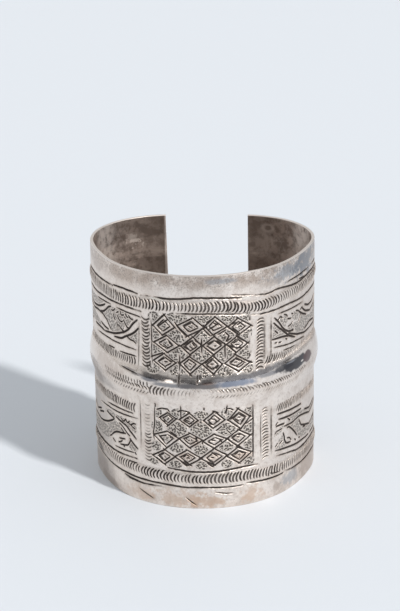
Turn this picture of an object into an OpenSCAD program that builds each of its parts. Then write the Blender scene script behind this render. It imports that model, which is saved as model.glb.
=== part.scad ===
// Wide open cuff of chased sheet silver, standing on its lower edge. One bent sheet, one solid.
// Origin: middle of the footprint, on the surface that it stands on. The ornament's middle is at
// the front (-Y), the opening that the wrist goes through is at the back (+Y). Millimetres.

/* [Sheet] */
// Height of the cuff, measured along the arm
cuff_h = 67; // [63:0.5:72]
// Thickness of the sheet
sheet_t = 0.85; // [0.7:0.05:1.2]

/* [Plan] */
// Outer radius of the arc across the front
front_r = 28.6; // [27:0.1:30]
// Half of the angle that the front arc spans
front_a = 59.6; // [56:0.2:62]
// Outer radius of the flatter stretch on each side
flank_r = 52.5; // [45:0.5:60]
// Angle that each flatter stretch spans
flank_a = 17; // [13:0.5:20]
// Outer radius of the arc round each back corner
back_r = 20.7; // [19.5:0.1:22]
// Width of the opening at the back
gap_w = 23.5; // [21:0.5:26]

/* [Ridge and rope ribs] */
// How far the middle of the hollow ridge lies above half height
ridge_rise = 1.3; // [0:0.1:2]
// Breadth of the ridge
ridge_w = 10.2; // [8:0.2:12]
// How far the ridge stands out from the sheet
ridge_h = 1.1; // [0.6:0.05:1.6]
// Distance from each rim to the middle of its rope rib
rib_inset = 8.6; // [7.5:0.1:9.5]
// Breadth of a rope rib
rib_w = 3.4; // [2.4:0.1:4]
// How far a rope rib stands out
rib_h = 0.35; // [0.2:0.05:0.6]

/* [Chased lines] */
// Width of a chased line
line_w = 0.45; // [0.3:0.05:0.5]
// Depth of a chased line
line_d = 0.2; // [0.1:0.05:0.3]
// Breadth of a middle panel, along the sheet
panel_w = 27.2; // [26:0.2:28]
// Gap between a middle panel and the ridge
panel_gap = 0.2; // [0.1:0.1:0.6]
// Distance from the middle of the front to the upright line beside a panel
upright_at = 18.1; // [17:0.1:19]
// Lozenges in a row across a panel
lozenge_cols = 4; // [3:1:4]
// Rows of lozenges in a panel
lozenge_rows = 3; // [2:1:3]
// Size of the small lozenge inside each one, as a share of it
inner_share = 0.45; // [0.45:0.05:0.6]

/* [Hidden] */
$fn = 180;
CLEAR = 1;
HALF_TURN = 180;
QUARTER_TURN = 90;
// The front and back stretches of the sheet run this far into the flanks, which are this much
// thicker on each side, so that all the stretches fuse cleanly into one sheet
LAP = 0.3;
SWELL = 0.04;
SILVER = [0.78, 0.76, 0.73];

// Arc centres in plan, counted from the front arc's centre; each arc meets the next in one tangent
turned_a = front_a + flank_a;
flank_c = (front_r - flank_r) * [sin(front_a), -cos(front_a)];
back_c = flank_c + (flank_r - back_r) * [sin(turned_a), -cos(turned_a)];
// Angle past straight back at which the back arc ends, so that the sheet is cut square to itself
end_a = asin((back_c[0] - gap_w / 2) / (back_r - sheet_t / 2));
back_y = back_c[1] + (back_r + ridge_h) * cos(min(end_a, 0));
mid_y = (back_y - front_r - ridge_h) / 2;

// Heights of the ridge and the two rope ribs, with a chased line on both sides of each rib
ridge_z = cuff_h / 2 + ridge_rise;
rib_zs = [rib_inset, cuff_h - rib_inset];
groove_off = rib_w / 2 + line_w;
// The panels are as high as the narrower space, above the ridge, lets them be
panel_h = rib_zs[1] - groove_off - ridge_z - ridge_w / 2 - 2 * panel_gap;
panel_off = ridge_w / 2 + panel_gap + panel_h / 2;
panel_zs = [ridge_z - panel_off, ridge_z + panel_off];
lozenge_w = panel_w / lozenge_cols;
lozenge_h = panel_h / lozenge_rows;

// Angle of the front arc that a length along the sheet takes
function front_angle(along) = along / front_r * HALF_TURN / PI;

// Radius of the circle whose segment is as broad and as high as a rib
function segment_r(breadth, height) = (breadth * breadth / 4 + height * height) / (2 * height);

// Section of a rounded rib on a surface of radius r: a low circle segment
module rib_section(r, z, breadth, height) {
    seg_r = segment_r(breadth, height);
    root = sheet_t / 3;
    intersection() {
        translate([r + height - seg_r, z]) circle(seg_r);
        translate([r - root, z - breadth / 2]) square([root + height + CLEAR, breadth]);
    }
}

// Section of a chased line: a V that opens to the outside
module line_section(r, z) {
    mouth = line_w / 2 * (1 + rib_h / line_d);
    polygon([[r - line_d, z], [r + rib_h, z - mouth], [r + rib_h, z + mouth]]);
}

// Section of the whole sheet: flat rims, two rope ribs with a line each side, and the hollow ridge
module sheet_section(r, t) {
    difference() {
        union() {
            translate([r - t, 0]) square([t, cuff_h]);
            rib_section(r, ridge_z, ridge_w, ridge_h);
            for (z = rib_zs) rib_section(r, z, rib_w, rib_h);
        }
        rib_section(r - t, ridge_z, ridge_w, ridge_h);
        for (z = rib_zs, side = [-1, 1]) line_section(r, z + side * groove_off);
    }
}

// One stretch of the bent sheet: the section swept round an arc, between two angles from the front
module bent_sheet(centre, r, t, from, to) {
    translate(centre) rotate_extrude(angle = to - from, start = from - QUARTER_TURN) sheet_section(r, t);
}

// Flank and back corner on the right
module side_sheet() {
    lap_a = LAP / back_r * HALF_TURN / PI;
    bent_sheet(flank_c, flank_r + SWELL, sheet_t + 2 * SWELL, front_a, turned_a);
    bent_sheet(back_c, back_r, sheet_t, turned_a - lap_a, HALF_TURN + end_a);
}

module front_sheet() {
    lap_a = LAP / front_r * HALF_TURN / PI;
    bent_sheet([0, 0], front_r, sheet_t, -front_a - lap_a, front_a + lap_a);
}

// Thin skin of the front arc, as deep as a chased line
module front_skin() {
    difference() {
        cylinder(h = cuff_h, r = front_r + CLEAR);
        translate([0, 0, -CLEAR]) cylinder(h = cuff_h + 2 * CLEAR, r = front_r - line_d);
    }
}

// Diamond outline, as wide as a chased line
module lozenge_line(w, h) {
    inner = 1 - 2 * line_w * sqrt(w * w + h * h) / (w * h);
    outline = [[-w / 2, 0], [0, -h / 2], [w / 2, 0], [0, h / 2]];
    difference() {
        polygon(outline);
        polygon(inner * outline);
    }
}

// Cutter for a flat outline drawn on the front: along is counted from the middle of the front
module on_front(along, z) {
    rotate([0, 0, front_angle(along)]) translate([0, -front_r / 2, z]) rotate([QUARTER_TURN, 0, 0])
        linear_extrude(height = front_r / 2 + CLEAR) children();
}

// Field of lozenges, each with a smaller one inside it, round the middle of one panel
module lozenge_field(panel_z) {
    for (col = [0 : lozenge_cols - 1], row = [0 : lozenge_rows - 1]) {
        along = (col - (lozenge_cols - 1) / 2) * lozenge_w;
        z = panel_z + (row - (lozenge_rows - 1) / 2) * lozenge_h;
        on_front(along, z) {
            lozenge_line(lozenge_w - line_w, lozenge_h - line_w);
            lozenge_line(lozenge_w * inner_share, lozenge_h * inner_share);
        }
    }
}

// Frame round one panel, and the upright lines on both sides of it
module panel_frame(panel_z) {
    edge = panel_w / 2 + line_w;
    for (along = [-upright_at, -edge, edge, upright_at]) {
        on_front(along, panel_z) square([line_w, panel_h], center = true);
    }
}

module chased_lines() {
    intersection() {
        union() {
            for (z = panel_zs) {
                lozenge_field(z);
                panel_frame(z);
            }
        }
        front_skin();
    }
}

module cuff() {
    color(SILVER) translate([0, -mid_y, 0]) {
        difference() {
            front_sheet();
            chased_lines();
        }
        side_sheet();
        mirror([1, 0, 0]) side_sheet();
    }
}

cuff();
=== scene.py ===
import math

import bpy
import numpy as np
from mathutils import Matrix, Vector


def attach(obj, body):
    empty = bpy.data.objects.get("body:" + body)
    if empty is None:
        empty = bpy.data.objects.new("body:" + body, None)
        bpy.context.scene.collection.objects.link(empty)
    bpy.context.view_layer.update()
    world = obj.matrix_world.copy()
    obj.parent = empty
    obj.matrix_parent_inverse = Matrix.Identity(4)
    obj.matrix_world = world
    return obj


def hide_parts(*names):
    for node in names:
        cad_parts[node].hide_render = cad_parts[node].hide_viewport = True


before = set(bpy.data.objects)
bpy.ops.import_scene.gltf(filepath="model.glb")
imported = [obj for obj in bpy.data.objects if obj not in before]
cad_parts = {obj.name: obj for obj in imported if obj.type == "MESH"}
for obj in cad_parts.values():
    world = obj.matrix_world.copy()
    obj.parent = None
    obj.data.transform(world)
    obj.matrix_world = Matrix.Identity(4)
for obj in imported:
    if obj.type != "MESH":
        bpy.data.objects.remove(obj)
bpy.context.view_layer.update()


# The view of the photograph: a long lens, a little above the cuff and nearly straight in front of
# it, that leans by less than a degree. The long side of the picture takes the sensor's width.
def put_in_scene(name, data):
    """An object of this data, at the origin."""
    thing = bpy.data.objects.new(name, data)
    bpy.context.scene.collection.objects.link(thing)
    return thing


view_place = Vector((0.02515, -0.5111, 0.2355))
view_turn, view_dip, view_lean = (math.radians(a) for a in (-2.88, 20.02, 0.94))
ahead = Vector((math.sin(view_turn) * math.cos(view_dip), math.cos(view_turn) * math.cos(view_dip),
                -math.sin(view_dip)))
level = Vector((math.cos(view_turn), -math.sin(view_turn), 0))
upward = level.cross(ahead)
right_way = level * math.cos(view_lean) - upward * math.sin(view_lean)
up_way = upward * math.cos(view_lean) + level * math.sin(view_lean)
lens = bpy.data.cameras.new("camera")
lens.lens = 116.07
lens.sensor_width = 36
lens.clip_start, lens.clip_end = 0.01, 50
camera = put_in_scene("camera", lens)
turned = Matrix((right_way, up_way, -ahead)).transposed().to_4x4()
camera.matrix_world = Matrix.Translation(view_place) @ turned
bpy.context.scene.camera = camera


# Rows of punched crescents: the rope ribs, the columns beside the panels and the rows along the
# ridge. Each mark is one blow of a curved punch, set by eye along a scribed line. All ornament is
# struck on the flat sheet, in millimetres: x from the front's middle, y height, z its lightness.
MIRROR_LINE = 42.5
UNSTEADINESS = 0.11


def add(tree, kind, given=None, **settings):
    """A node of a tree. given holds its inputs, each a value or another node's output."""
    node = tree.nodes.new(kind)
    for name, value in settings.items():
        setattr(node, name, value)
    for key, value in (given or {}).items():
        if isinstance(value, bpy.types.NodeSocket):
            tree.links.new(value, node.inputs[key])
        else:
            node.inputs[key].default_value = value
    return node


def made(tree, kind, given=None, **settings):
    """What a new node gives first."""
    return add(tree, kind, given, **settings).outputs[0]


def calc(operation, *values):
    """One sum or comparison of numbers, in the tree that they come from."""
    tree = next(value.id_data for value in values if isinstance(value, bpy.types.NodeSocket))
    return made(tree, "ShaderNodeMath", dict(enumerate(values)), operation=operation)


def plus(first, second):
    return calc("ADD", first, second)


def minus(first, second):
    return calc("SUBTRACT", first, second)


def times(first, second):
    return calc("MULTIPLY", first, second)


def distance_from(place, value):
    return calc("ABSOLUTE", minus(value, place))


def between(value, low, high, top=1.0, kind="SMOOTHSTEP"):
    """Rises from nothing, where a value is at low, to top, where it is at high."""
    return made(value.id_data, "ShaderNodeMapRange", {
        "Value": value, "From Min": low, "From Max": high, "To Min": 0.0, "To Max": top},
        interpolation_type=kind)


def vector(tree, **parts):
    """A vector of the parts X, Y and Z that are given."""
    return made(tree, "ShaderNodeCombineXYZ", parts)


def scaled(direction, share):
    """A vector made longer or shorter."""
    return made(direction.id_data, "ShaderNodeVectorMath", {0: direction, "Scale": share},
                operation="SCALE")


def drawn(low, high, seed):
    """A vector drawn by chance for each point or edge."""
    return made(seed.id_data, "FunctionNodeRandomValue", {0: low, 1: high, "Seed": seed},
                data_type="FLOAT_VECTOR")


def moved(geometry, offset):
    """A geometry with each of its points moved by a vector."""
    return made(geometry.id_data, "GeometryNodeSetPosition", {
        "Geometry": geometry, "Offset": offset})


def even_line(mesh, spacing):
    """Smooth curves through the edges of a mesh, with points at an even spacing."""
    tree = mesh.id_data
    line = made(tree, "GeometryNodeMeshToCurve", {"Mesh": mesh})
    line = made(tree, "GeometryNodeCurveSplineType", {"Curve": line}, spline_type="CATMULL_ROM")
    return made(tree, "GeometryNodeResampleCurve", {"Curve": line, "Length": spacing},
                mode="LENGTH")


def from_middle(tree):
    """How far a point lies from its line's middle, from nothing to a half."""
    return distance_from(0.5, add(tree, "GeometryNodeSplineParameter").outputs["Factor"])


def new_tree(name, sizes, kinds):
    """A tree that takes a geometry and the named inputs, with the node that they come from."""
    tree = bpy.data.node_groups.new(name, "GeometryNodeTree")
    inputs = {"Geometry": "Geometry", **dict.fromkeys(sizes, "Float"), **kinds}
    for label, kind in inputs.items():
        tree.interface.new_socket(label, in_out="INPUT", socket_type="NodeSocket" + kind)
    tree.interface.new_socket("Geometry", in_out="OUTPUT", socket_type="NodeSocketGeometry")
    return tree, tree.nodes.new("NodeGroupInput").outputs


def close_tree(tree, geometry, metal=None):
    """Ends a tree: whatever was instanced becomes real, and takes the metal if one is named."""
    real = made(tree, "GeometryNodeRealizeInstances", {"Geometry": geometry})
    dressed = add(tree, "GeometryNodeSetMaterial", {"Geometry": real})
    if metal is not None:
        tree.links.new(metal, dressed.inputs["Material"])
    tree.links.new(dressed.outputs[0], tree.nodes.new("NodeGroupOutput").inputs[0])


def worked(name, mesh, tree, sizes):
    """The plain mesh that a tree makes of a mesh with these sizes."""
    blank = put_in_scene(name, mesh)
    step = blank.modifiers.new(tree.name, "NODES")
    step.node_group = tree
    for item in tree.interface.items_tree:
        if item.in_out == "INPUT" and item.name in sizes:
            step[item.identifier] = sizes[item.name]
    result = bpy.data.meshes.new_from_object(
        blank.evaluated_get(bpy.context.evaluated_depsgraph_get()))
    blank.modifiers.remove(step)
    bpy.data.objects.remove(blank)
    bpy.data.meshes.remove(mesh)
    return result


def scribed(name, paths):
    """A mesh of open lines. A point is (along, height) or (along, height, lightness)."""
    points, edges = [], []
    for path in paths:
        edges += [(len(points) + i, len(points) + i + 1) for i in range(len(path) - 1)]
        points += [tuple(p) + (0,) * (3 - len(p)) for p in path]
    mesh = bpy.data.meshes.new(name)
    mesh.from_pydata(points, edges, [])
    return mesh


def struck_twice(paths):
    """The lines on one side panel, and again the other way round on its far half."""
    far = []
    for path in paths:
        side = 2 * MIRROR_LINE * (1 if path[0][0] > 0 else -1)
        far.append([(side - p[0], *p[1:]) for p in path])
    return paths + far


punch_tree, size = new_tree("struck along a line", [
    "Pitch", "Mark length", "Bend", "Slant", "Unsteadiness"], {"Seed": "Int"})
line = even_line(size["Geometry"], size["Pitch"])
half_bend = times(size["Bend"], 0.5)
radius = calc("DIVIDE", times(size["Mark length"], 0.5), calc("SINE", half_bend))
punch = made(punch_tree, "GeometryNodeCurveArc", {
    "Resolution": 7, "Radius": radius, "Sweep Angle": size["Bend"],
    "Start Angle": times(half_bend, -1.0)})
shallow_tip = times(calc("POWER", from_middle(punch_tree), 3.0), 1.3)
punch = moved(punch, vector(punch_tree, X=times(radius, -1.0), Z=shallow_tip))
punch = made(punch_tree, "GeometryNodeCurveToMesh", {"Curve": punch})
shake = scaled(drawn((-1, -1, -1), (1, 1, 1), size["Seed"]), size["Unsteadiness"])
shake = add(punch_tree, "ShaderNodeSeparateXYZ", {0: shake}).outputs
facing = made(punch_tree, "FunctionNodeAlignRotationToVector", {
    "Vector": made(punch_tree, "GeometryNodeInputTangent")}, axis="X", pivot_axis="Z")
swing = plus(size["Slant"], times(shake["Z"], 1.1))
facing = made(punch_tree, "FunctionNodeRotateRotation", {
    "Rotation": facing, "Rotate By": vector(punch_tree, Z=swing)})
struck = made(punch_tree, "GeometryNodeInstanceOnPoints", {
    "Points": line, "Instance": punch, "Rotation": facing,
    "Scale": plus(1.0, times(shake["X"], 0.9))})
patchy = made(punch_tree, "ShaderNodeTexNoise", {"Scale": 0.23, "Detail": 2.0})
patchy = between(patchy, 0.42, 0.66, 0.07, "LINEAR")
struck = made(punch_tree, "GeometryNodeTranslateInstances", {
    "Instances": struck, "Local Space": False,
    "Translation": vector(punch_tree, X=times(shake["Y"], 0.8), Y=times(shake["X"], 0.8),
                          Z=patchy)})
close_tree(punch_tree, struck)

upper_rope = [
    (-81, 58.1), (-60, 57.8), (-44, 57.9), (-34, 58, 0.1), (-27, 58.05, 0.06), (-22, 58.05),
    (-13, 58.2), (-10, 58.25, 0.06), (-6, 58.3, 0.1), (0, 58.4, 0.07), (3, 58.35), (9, 58.1),
    (11, 57.5, 0.05), (14, 57.2, 0.07), (17, 57), (22, 57.3), (25, 57.6, 0.1), (36, 57.5, 0.1),
    (46, 57.8), (64, 58.2), (81, 58.1),
]
lower_rope = [
    (81, 8.9), (60, 8.6), (44, 8.3), (33, 8.2, 0.1), (26, 8.2, 0.08), (24, 8.2), (20, 8.3),
    (18, 8.5, 0.07), (14, 8.8), (5, 8.9), (0, 8.9, 0.07), (-6, 9, 0.1), (-9, 9.2), (-16, 9.5),
    (-18, 9.6, 0.08), (-24, 9.7, 0.1), (-34, 9.8, 0.12), (-46, 9.8), (-62, 9.1), (-81, 8.9),
]
above_ridge = [(-42.2, 40.7, 0.08), (-30, 40.8), (-24, 40.9, 0.08), (-18.5, 41, 0.05)]
below_ridge = [(-19.5, 27.2), (-26, 27.4), (-34, 27), (-42.2, 26.6, 0.1)]
right_of_ridge = [
    [(19.6, 41, 0.08), (24, 40.9, 0.07), (30, 40.8, 0.1), (42.2, 40.7, 0.15)],
    [(42.2, 25.6, 0.12), (34, 25.8, 0.08), (30, 25.9), (25, 26, 0.02), (23.5, 26.1, 0.12)],
]
columns = [
    [(-14.7, 53.5, 0.07), (-14.7, 40.3, 0.07)],
    [(-14.75, 29, 0.23), (-14.75, 21.8, 0.2), (-14.75, 20.5, 0.15), (-14.75, 12.7, 0.16)],
]
right_columns = [
    [(17.1, 39.7, 0.05), (17.5, 46, 0.06), (17.8, 53.3, 0.07)],
    [(19.1, 12.9, 0.13), (19, 21, 0.12), (19, 27.3, 0.16)],
]
on_ridge_front = [(3.5, 34.2, 0.28), (0, 34.3, 0.26), (-3, 34.3, 0.23), (-7, 34.3, 0.16),
                  (-10, 34.3, 0.08), (-13, 34.4, 0.05)]
on_ridge_right = [(-1, 35.2, 0.24), (4, 35, 0.2), (10, 34.7, 0.14), (20, 34.6, 0.14),
                  (32, 34.4, 0.17), (39, 34.2, 0.22)]
# Each row with its pitch, the length and bend of its punch, its slant and its seed
rows = (
    ("upper rope", [upper_rope], 1.0, 2.85, 1.7, 0.05, 3),
    ("lower rope", [lower_rope], 1.0, 2.75, 1.6, -0.14, 8),
    ("above the ridge", struck_twice([above_ridge]), 0.9, 2.1, 1.2, 0.0, 5),
    ("below the ridge", struck_twice([below_ridge]), 0.9, 2.3, 1.4, -0.1, 6),
    ("right of the ridge", struck_twice(right_of_ridge), 0.85, 2.6, 0.7, -0.45, 18),
    ("columns", struck_twice(columns), 0.92, 2.4, 2.2, 0.0, 9),
    ("right columns", struck_twice(right_columns), 0.88, 2.5, 1.6, 0.2, 17),
    ("ridge, left, upper", [[(-31, 35.9, 0.2), (-26, 35.8, 0.14), (-14, 35.6, 0.1)]],
     0.95, 1.25, 0.5, 0.15, 11),
    ("ridge, left, middle", [[(-29.5, 34.8, 0.17), (-26, 34.7, 0.12), (-13.5, 34.6, 0.07)]],
     0.95, 1.35, 0.5, 0.8, 12),
    ("ridge, left, lower", [[(-32, 33.6, 0.24), (-25, 33.3, 0.21), (-14, 33.1, 0.19)]],
     0.95, 1.8, 0.5, -0.7, 13),
    ("ridge, front", [on_ridge_front], 0.95, 2.6, 1.4, -0.3, 14),
    ("ridge, right, upper", [on_ridge_right], 0.9, 2.1, 0.9, 0.75, 15),
    ("ridge, right, lower", [[(0, 33.3, 0.24), (9, 33, 0.22), (20, 32.9, 0.2), (32, 32.7, 0.23)]],
     0.92, 1.7, 0.5, -0.7, 16),
)
punches = []
for row_name, paths, pitch, length, bend, slant, seed in rows:
    punches.append(worked(row_name, scribed(row_name, paths), punch_tree, {
        "Pitch": pitch, "Mark length": length, "Bend": bend, "Slant": slant,
        "Unsteadiness": UNSTEADINESS, "Seed": seed}))


# The two panels across the front: four by three lozenges, each cut twice round with a straight
# liner, and a small one in its middle. The cuts are placed by eye: they overshoot, miss a corner or
# run on into the next lozenge. The sunk ground between them is matted with a fine round punch.
def points_of(rows):
    """The points of each row, which holds their along and height by turns."""
    return [list(zip(row[::2], row[1::2])) for row in rows]


lozenge_middles = points_of([
    # Upper panel
    (-11.1, 52.6, -9.8, 51.2), (-10.4, 52.5, -8.3, 54.4), (-3.7, 52.7, -2, 51.3),
    (-3.6, 52.9, -1.6, 54, 0, 52.9), (-2.4, 52.9, -1.3, 52.4), (3, 52.1, 4.6, 53, 5.4, 53.6),
    (4.2, 53.9, 5.3, 53.2), (5.4, 50.5, 7.5, 51.7), (9, 52, 11.5, 50.2), (9, 53, 10.4, 53.5),
    (10.6, 52.6, 11.9, 53.4), (-9.5, 47.5, -7.8, 46.3), (-10.6, 47.9, -9.9, 47.8),
    (-7.9, 48.2, -7, 47.3), (-3.9, 47.6, -2.3, 48.6, -1.3, 49), (-0.8, 49.1, 0.9, 47.8),
    (-3.9, 47.3, -2.1, 46.1), (-1.5, 48.4, -0.8, 47.3), (-2.4, 47.4, -1.3, 46.6),
    (2.3, 47.4, 4.5, 46.1), (2.5, 47.9, 4.3, 48.9), (5, 48.8, 6.3, 47.7), (4.2, 47.3, 5, 47.4),
    (7.7, 48.3, 9.2, 49.4), (8.3, 47.2, 9.8, 46.4, 11.9, 46.1), (9.6, 47.6, 10.9, 48.4),
    (10, 47.2, 11.2, 47), (-11.2, 42.2, -9, 43.5, -7, 42.5), (-10, 41.8, -8.8, 40.7),
    (-9.4, 42.5, -8.3, 42.4), (-2.7, 43.7, -0.9, 42.6), (-4, 42.3, -2.8, 41.3),
    (-2.6, 42.6, -1.7, 42.1), (1.7, 42.4, 3, 43.2, 4, 43.9), (2.2, 41.8, 3.6, 41, 4.3, 41.2),
    (3.2, 42.2, 4.2, 42.2), (4.6, 40.9, 5.6, 41.8), (8.5, 42.3, 10, 43.2, 11.6, 42.5),
    (9.2, 41.8, 10.2, 41, 12, 42), (9.7, 42.2, 10.6, 42.2),
    # Lower panel
    (-10.2, 25.4, -9.3, 25.1), (-3.9, 26.2, -2.4, 25.6), (-2.9, 24.9, -1.9, 25.2),
    (-3.6, 26.7, -2.5, 26.4), (2.2, 25.9, 3.2, 26.5, 4.3, 26.3, 4.8, 25.5), (2.6, 25.4, 3.5, 24.8),
    (8.1, 26, 9.4, 26.6, 10.9, 27.6), (9.8, 26, 11, 25), (10.9, 27.2, 12.7, 25.9, 11.5, 24.7),
    (10.6, 26.2, 11.5, 26.1), (-11.4, 20.9, -10.5, 20.2, -9.7, 19.5), (-8, 21.1, -7.8, 20.2),
    (-10.1, 21, -9.2, 20.9), (-3.8, 20.8, -3.1, 20.3, -2.6, 20.1),
    (-3.6, 20.9, -2.5, 21.4, -1.9, 21), (-3.2, 19.5, -2.4, 19.1), (-0.8, 21.3, -0.7, 19.8),
    (0.8, 19.9, 0.9, 19.1), (4.3, 21, 5.4, 20.4, 6.1, 19.5), (2.3, 19.8, 3.4, 19.2),
    (3.2, 20.3, 4.4, 20), (8.8, 20.5, 10, 21.4, 11.6, 21), (9.2, 19.9, 10.3, 19.4),
    (10.2, 20.6, 11.1, 20.4), (-11.7, 15.3, -10.2, 13.9, -9.4, 13.2),
    (-10.8, 15, -9.8, 15.8, -8.7, 15.2), (-10, 14.8, -9.3, 14.5),
    (-4.5, 15.1, -3.7, 15.9, -2.7, 15.4), (-3.6, 14.8, -3, 15.2, -2.7, 14.7),
    (2, 15, 3.2, 13.8, 4.1, 13), (3.2, 16.8, 4.8, 15.4), (3, 15.2, 4, 15), (8.6, 15.6, 10, 14.4),
    (9.6, 15.3, 10.9, 16.3, 12.1, 15.4), (10.6, 15.2, 11.4, 14.9),
])
# The left, top, right and bottom corner of each lozenge
lozenges = points_of([
    (-12.3, 52.5, -9, 55.6, -6.3, 52.5, -9.7, 50), (-5.3, 53, -1.3, 55.3, 1.7, 52.6, -2.6, 50.3),
    (1.9, 53, 4.6, 55.4, 7.8, 52.7, 4, 50.6), (8.1, 52.4, 11, 54.5, 14.6, 51.9, 11, 49.9),
    (-12.1, 47.6, -8.4, 49.9, -5.2, 47.3, -8.3, 45.2),
    (-4.5, 47.4, -1.3, 49.8, 0.9, 47.5, -2.1, 45), (1.4, 47.5, 4.4, 49.9, 7.5, 47.4, 4.2, 45),
    (7.8, 47.5, 10.6, 49.5, 13.6, 47.2, 10.3, 45), (-12.3, 42.4, -9.2, 44.6, -6, 42.4, -8.9, 40),
    (-4.9, 42.3, -2.4, 44.4, 0.8, 42.2, -2.1, 39.5), (1.2, 42.2, 3.9, 44.4, 6.3, 42.1, 4, 39.5),
    (7.3, 42.2, 10.1, 44.3, 14.2, 41.6, 11, 39.6), (-11, 26, -8.6, 27.7, -6.2, 26.2, -8.6, 24.1),
    (-5.3, 26.1, -2.6, 28, -0.4, 26.1, -2.6, 24.2), (1.4, 26, 4.1, 28.5, 7, 26, 3.7, 23.8),
    (8, 25.8, 10.7, 28.6, 14.1, 26, 11.4, 22.9), (-12.8, 20.8, -8.9, 22.2, -5.6, 20.5, -9.2, 17.5),
    (-5.5, 20.5, -2.6, 22.3, 0.8, 20.2, -2.7, 18), (1, 20, 4.1, 21.9, 7.6, 20.3, 4, 17.9),
    (7.6, 20.4, 10.8, 22.5, 14.2, 20.4, 10.6, 17.9),
    (-13.2, 14.6, -9.8, 16.7, -6.9, 15, -9.9, 12.6), (-6.8, 15.1, -3.4, 17.2, 0.3, 15, -3.2, 12.9),
    (0.4, 15, 3.9, 17.6, 7.4, 15.4, 3.9, 12.9), (7.6, 15.3, 10.5, 17.4, 14.5, 15.4, 11, 12.8),
])
# Cuts that overshot their lozenge, or were struck beside it
stray_cuts = points_of([
    (7.4, 51, 8.4, 49.9, 7.6, 48.4), (-11.8, 28.3, -10.3, 28.9, -8.6, 28.8, -8.1, 28.1),
    (-5.8, 28.3, -4.9, 28.8, -3.8, 28.7, -2.5, 28.3), (7, 27.8, 7.7, 29.1, 8.7, 29, 9.4, 28.5),
    (-0.9, 50.2, 1.3, 52.4), (1.6, 52.1, 3.4, 50.2), (-2.6, 44.2, -1.9, 45), (13.4, 42.2, 15, 41.3),
    (-13.1, 43.3, -9.6, 44.9), (4.6, 23, 6.1, 24.1), (13, 24, 15, 25.1), (-12.2, 14, -10.6, 13),
    (-5.4, 14.1, -3.6, 12.6), (-4.2, 13.9, -2.2, 12.7), (2, 13.6, 3.6, 12.3),
    (10.6, 17.9, 11.8, 17), (7.4, 15.7, 6.4, 16.3), (-7.9, 22.3, -6.2, 21.3),
    (-0.9, 21.5, -0.7, 19.8), (-6.9, 15.1, -6, 14.4), (8.6, 25.9, 10.5, 27.3),
    (3.7, 28.7, 5.2, 28.2), (-6.1, 53.9, -5, 52.2, -3.2, 50.3), (-11.9, 53, -9.1, 55.8),
    (-10.6, 52.5, -8.2, 54.4), (2.4, 54, 4.3, 55.2), (10.4, 49.6, 13.5, 47.3),
])
# The third lozenge of each row is left smooth inside, the others are matted out to this share
LOZENGES_ACROSS, SMOOTH_COLUMN = 4, 2
MATTED_SHARE = 0.36
# Rounded fields of matted ground: along and height of the middle, breadth and height
panel_grounds = (
    (-12, 54.7, 3, 2.6), (-5.6, 54.9, 5.2, 3), (1.6, 55.2, 4.6, 2.2), (7.9, 55, 4.4, 2.8),
    (13, 54.7, 3.2, 2.2), (-12, 50.1, 2.6, 3.4), (-5.4, 50.4, 4.8, 3.6), (1.6, 50.2, 5, 4.2),
    (7.8, 50, 3.8, 3.8), (13.3, 50.2, 2.8, 4.2), (-11.6, 45, 3.4, 3.4), (-5.5, 45, 5, 3.6),
    (1.1, 44.8, 4.6, 3.4), (7.4, 44.7, 4, 3.6), (12.8, 44.5, 3.2, 3.8), (-12.6, 40.5, 3.4, 2.6),
    (-5.8, 40.5, 4, 2.8), (1, 40.3, 3.6, 3), (7.2, 40.2, 3.8, 2.6), (13.6, 40.3, 2.6, 2.4),
    (-11.6, 27.6, 2.2, 2.4), (-5.7, 27.6, 3.6, 2.8), (0.6, 27.1, 4, 2.8), (7.6, 27.8, 2.6, 3),
    (13.9, 27.6, 2.4, 2), (-11.8, 23.3, 2.8, 3), (-6, 23.4, 4.6, 3.4), (0.6, 23.3, 5, 3.8),
    (7.4, 23.2, 4.2, 3), (13.9, 23.2, 3, 3.2), (-12.2, 17.6, 2.6, 2.6), (-6.3, 17.8, 3.8, 2.6),
    (0.4, 17.5, 3.6, 2.8), (7.3, 18, 3.6, 2.4), (13.8, 17.9, 2.8, 2.8), (-12.8, 12.9, 2.6, 1.6),
    (-6.7, 12.9, 3.6, 2.2), (0.5, 12.9, 3, 2.2), (7.4, 13, 2.8, 2.1), (13.8, 12.9, 3, 2.2),
)
# The fields are spread by this much, and by less in the lowest rows
SPREAD, LOW_SPREAD, LOW_ROWS = 1.14, 1.02, 22.5
FIELD_STEP = 24


def shrunk(corners, share):
    """A lozenge at this share of its size."""
    middle_x, middle_y = (sum(c[i] for c in corners) / 4 for i in (0, 1))
    return [(middle_x + share * (x - middle_x), middle_y + share * (y - middle_y))
            for x, y in corners]


def liner_cuts(share):
    """Four single cuts round each lozenge, at this share of its size."""
    cut_lines = []
    for corners in lozenges:
        corners = shrunk(corners, share)
        cut_lines += [[corners[i], corners[(i + 1) % 4]] for i in range(4)]
    return cut_lines


def straight(paths):
    """The same cuts, each straight stretch a cut of its own."""
    return [[start, end] for path in paths for start, end in zip(path, path[1:])]


turns = [math.radians(turn) for turn in range(0, 360, FIELD_STEP)]
grounds = []
for along, height, broad, high in panel_grounds:
    spread = SPREAD if height > LOW_ROWS else LOW_SPREAD
    broad, high = broad * spread, high * spread
    grounds.append([(along + broad / 2 * math.cos(t), height + high / 2 * math.sin(t))
                    for t in turns])
for number, corners in enumerate(lozenges):
    if number % LOZENGES_ACROSS != SMOOTH_COLUMN:
        grounds.append(shrunk(corners, MATTED_SHARE))


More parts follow.
